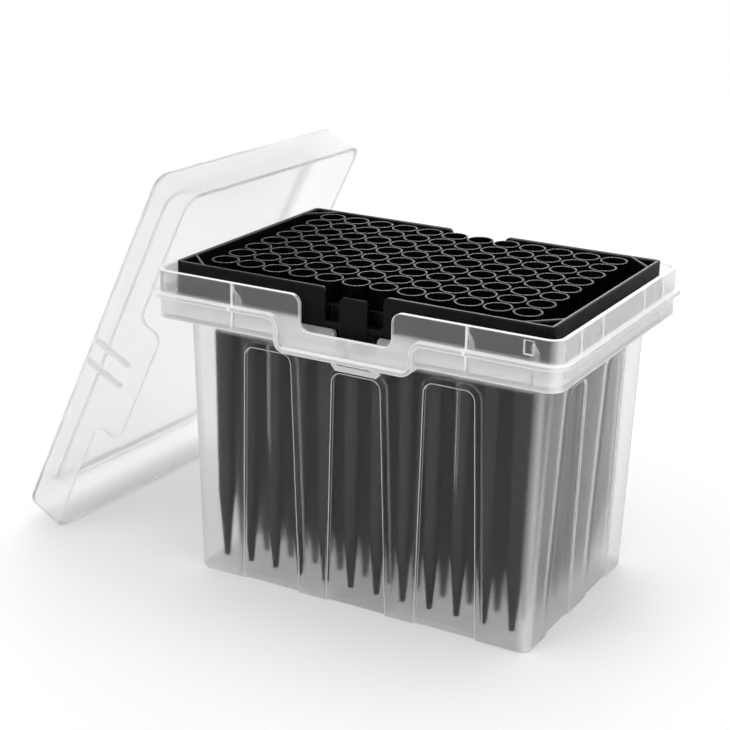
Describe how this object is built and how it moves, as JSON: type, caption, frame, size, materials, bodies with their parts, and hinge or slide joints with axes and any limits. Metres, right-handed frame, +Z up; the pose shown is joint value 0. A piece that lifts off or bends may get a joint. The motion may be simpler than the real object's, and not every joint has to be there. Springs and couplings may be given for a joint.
{
  "type": "pipette tip box",
  "caption": "Frosted tub with a black rack of hanging pipette tips, its lid taken off and leaning against one end.",
  "frame": {"origin": "middle of the tub's base, on the surface that the box stands on", "axes": "+X along the tub's long side, away from the leaning lid; +Y from front to back; +Z up"},
  "size_m": [0.1921, 0.1029, 0.1262],
  "materials": {
    "frosted_polypropylene": "frosted, translucent",
    "black_polypropylene": "satin, conductive black"
  },
  "bodies": {
    "root": {"tub": "frosted_polypropylene", "rack": "black_polypropylene", "lid": "frosted_polypropylene", "tips_column_1": "black_polypropylene", "tips_column_2": "black_polypropylene", "tips_column_3": "black_polypropylene", "tips_column_4": "black_polypropylene", "tips_column_5": "black_polypropylene", "tips_column_6": "black_polypropylene", "tips_column_7": "black_polypropylene", "tips_column_8": "black_polypropylene", "tips_column_9": "black_polypropylene", "tips_column_10": "black_polypropylene", "tips_column_11": "black_polypropylene", "tips_column_12": "black_polypropylene"}
  },
  "joints": []
}
